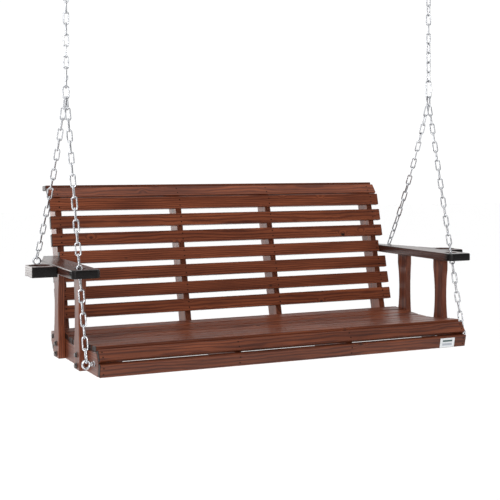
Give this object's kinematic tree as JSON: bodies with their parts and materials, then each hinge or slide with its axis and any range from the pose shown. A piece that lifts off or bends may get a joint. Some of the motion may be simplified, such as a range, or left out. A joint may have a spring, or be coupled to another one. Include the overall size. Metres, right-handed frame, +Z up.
{
  "type": "porch swing seat",
  "caption": "Slatted wooden porch swing bench with a contoured seat, arms with cup holders and steel chains from ceiling hooks.",
  "frame": {"origin": "midway between the two ceiling hooks, in the plane of the ceiling that their flanges meet", "axes": "+Z up, along the hook shanks; +X to the right of a viewer facing the front of the seat; -Y is the way the sitter faces"},
  "size_m": [1.616, 0.6696, 1.35],
  "materials": {
    "stained_wood": "reddish-brown stained softwood, satin, with open grain and knots",
    "arm_wood": "darker brown stained softwood with a satin top coat",
    "zinc_steel": "bright zinc-plated round steel wire",
    "dark_fasteners": "dark coated steel bolts and screws",
    "nails": "small dull nail heads set flush",
    "label": "pale satin sticker with two plain printed bars and no lettering"
  },
  "bodies": {
    "ceiling": {"left_ceiling_hook": "zinc_steel", "right_ceiling_hook": "zinc_steel"},
    "left_swivel": {"left_top_link": "zinc_steel"},
    "left_hanger": {"left_upper_chain": "zinc_steel"},
    "left_shackle": {"left_quick_link": "zinc_steel"},
    "right_swivel": {"right_top_link": "zinc_steel"},
    "right_hanger": {"right_upper_chain": "zinc_steel"},
    "right_shackle": {"right_quick_link": "zinc_steel"},
    "seat": {"apron": "stained_wood", "arm_screws": "dark_fasteners", "back_cap_slat": "stained_wood", "back_crown_slat": "stained_wood", "back_nails": "nails", "back_slat_1": "stained_wood", "back_slat_2": "stained_wood", "back_slat_3": "stained_wood", "back_slat_4": "stained_wood", "back_slat_5": "stained_wood", "back_slat_6": "stained_wood", "back_slat_7": "stained_wood", "blank_label": "label", "eye_bolt_nuts": "zinc_steel", "frame_bolt_nuts": "dark_fasteners", "frame_bolts": "dark_fasteners", "front_eye_bolts": "zinc_steel", "left_arm": "arm_wood", "left_corner_block": "stained_wood", "left_cup_holder": "arm_wood", "left_end_upright": "stained_wood", "left_front_leg_chain": "zinc_steel", "left_front_post": "stained_wood", "left_inner_upright": "stained_wood", "left_master_link": "zinc_steel", "left_rear_leg_chain": "zinc_steel", "left_rear_post": "stained_wood", "left_seat_rib": "stained_wood", "left_side_board": "stained_wood", "rear_eye_bolts": "zinc_steel", "right_arm": "arm_wood", "right_corner_block": "stained_wood", "right_cup_holder": "arm_wood", "right_end_upright": "stained_wood", "right_front_leg_chain": "zinc_steel", "right_front_post": "stained_wood", "right_inner_upright": "stained_wood", "right_rear_leg_chain": "zinc_steel", "right_rear_post": "stained_wood", "right_seat_rib": "stained_wood", "right_side_board": "stained_wood", "seat_front_lip": "stained_wood", "seat_nails": "nails", "seat_slat_1": "stained_wood", "seat_slat_2": "stained_wood", "seat_slat_3": "stained_wood", "seat_slat_4": "stained_wood", "seat_slat_5": "stained_wood", "seat_slat_6": "stained_wood", "seat_slat_7": "stained_wood", "seat_slat_8": "stained_wood", "seat_slat_9": "stained_wood"}
  },
  "joints": [
    {"name": "swing", "type": "hinge", "parent": "ceiling", "child": "left_swivel", "pos_m": [-0.6875, 0, -0.0455], "axis": [1, 0, 0], "range_deg": [-30, 30]},
    {"name": "sway", "type": "hinge", "parent": "left_swivel", "child": "left_hanger", "pos_m": [-0.6875, 0, -0.0805], "axis": [0, 1, 0], "range_deg": [-8, 8]},
    {"name": "left_level", "type": "hinge", "parent": "left_hanger", "child": "left_shackle", "pos_m": [-0.6875, 0, -0.36], "axis": [0, 1, 0], "range_deg": [-8, 8]},
    {"name": "seat_pitch", "type": "hinge", "parent": "left_shackle", "child": "seat", "pos_m": [0, 0, -0.4202], "axis": [1, 0, 0], "range_deg": [-12, 12]},
    {"name": "right_swing", "type": "hinge", "parent": "ceiling", "child": "right_swivel", "pos_m": [0.6875, 0, -0.0455], "axis": [1, 0, 0], "range_deg": [-30, 30]},
    {"name": "right_sway", "type": "hinge", "parent": "right_swivel", "child": "right_hanger", "pos_m": [0.6875, 0, -0.0805], "axis": [0, 1, 0], "range_deg": [-8, 8]},
    {"name": "right_level", "type": "hinge", "parent": "right_hanger", "child": "right_shackle", "pos_m": [0.6875, 0, -0.36], "axis": [0, 1, 0], "range_deg": [-8, 8]}
  ],
  "couplings": [
    {"joint": "left_level", "follows": "sway", "ratio": -1},
    {"joint": "right_swing", "follows": "swing", "ratio": 1},
    {"joint": "right_sway", "follows": "sway", "ratio": 1},
    {"joint": "right_level", "follows": "sway", "ratio": -1}
  ]
}
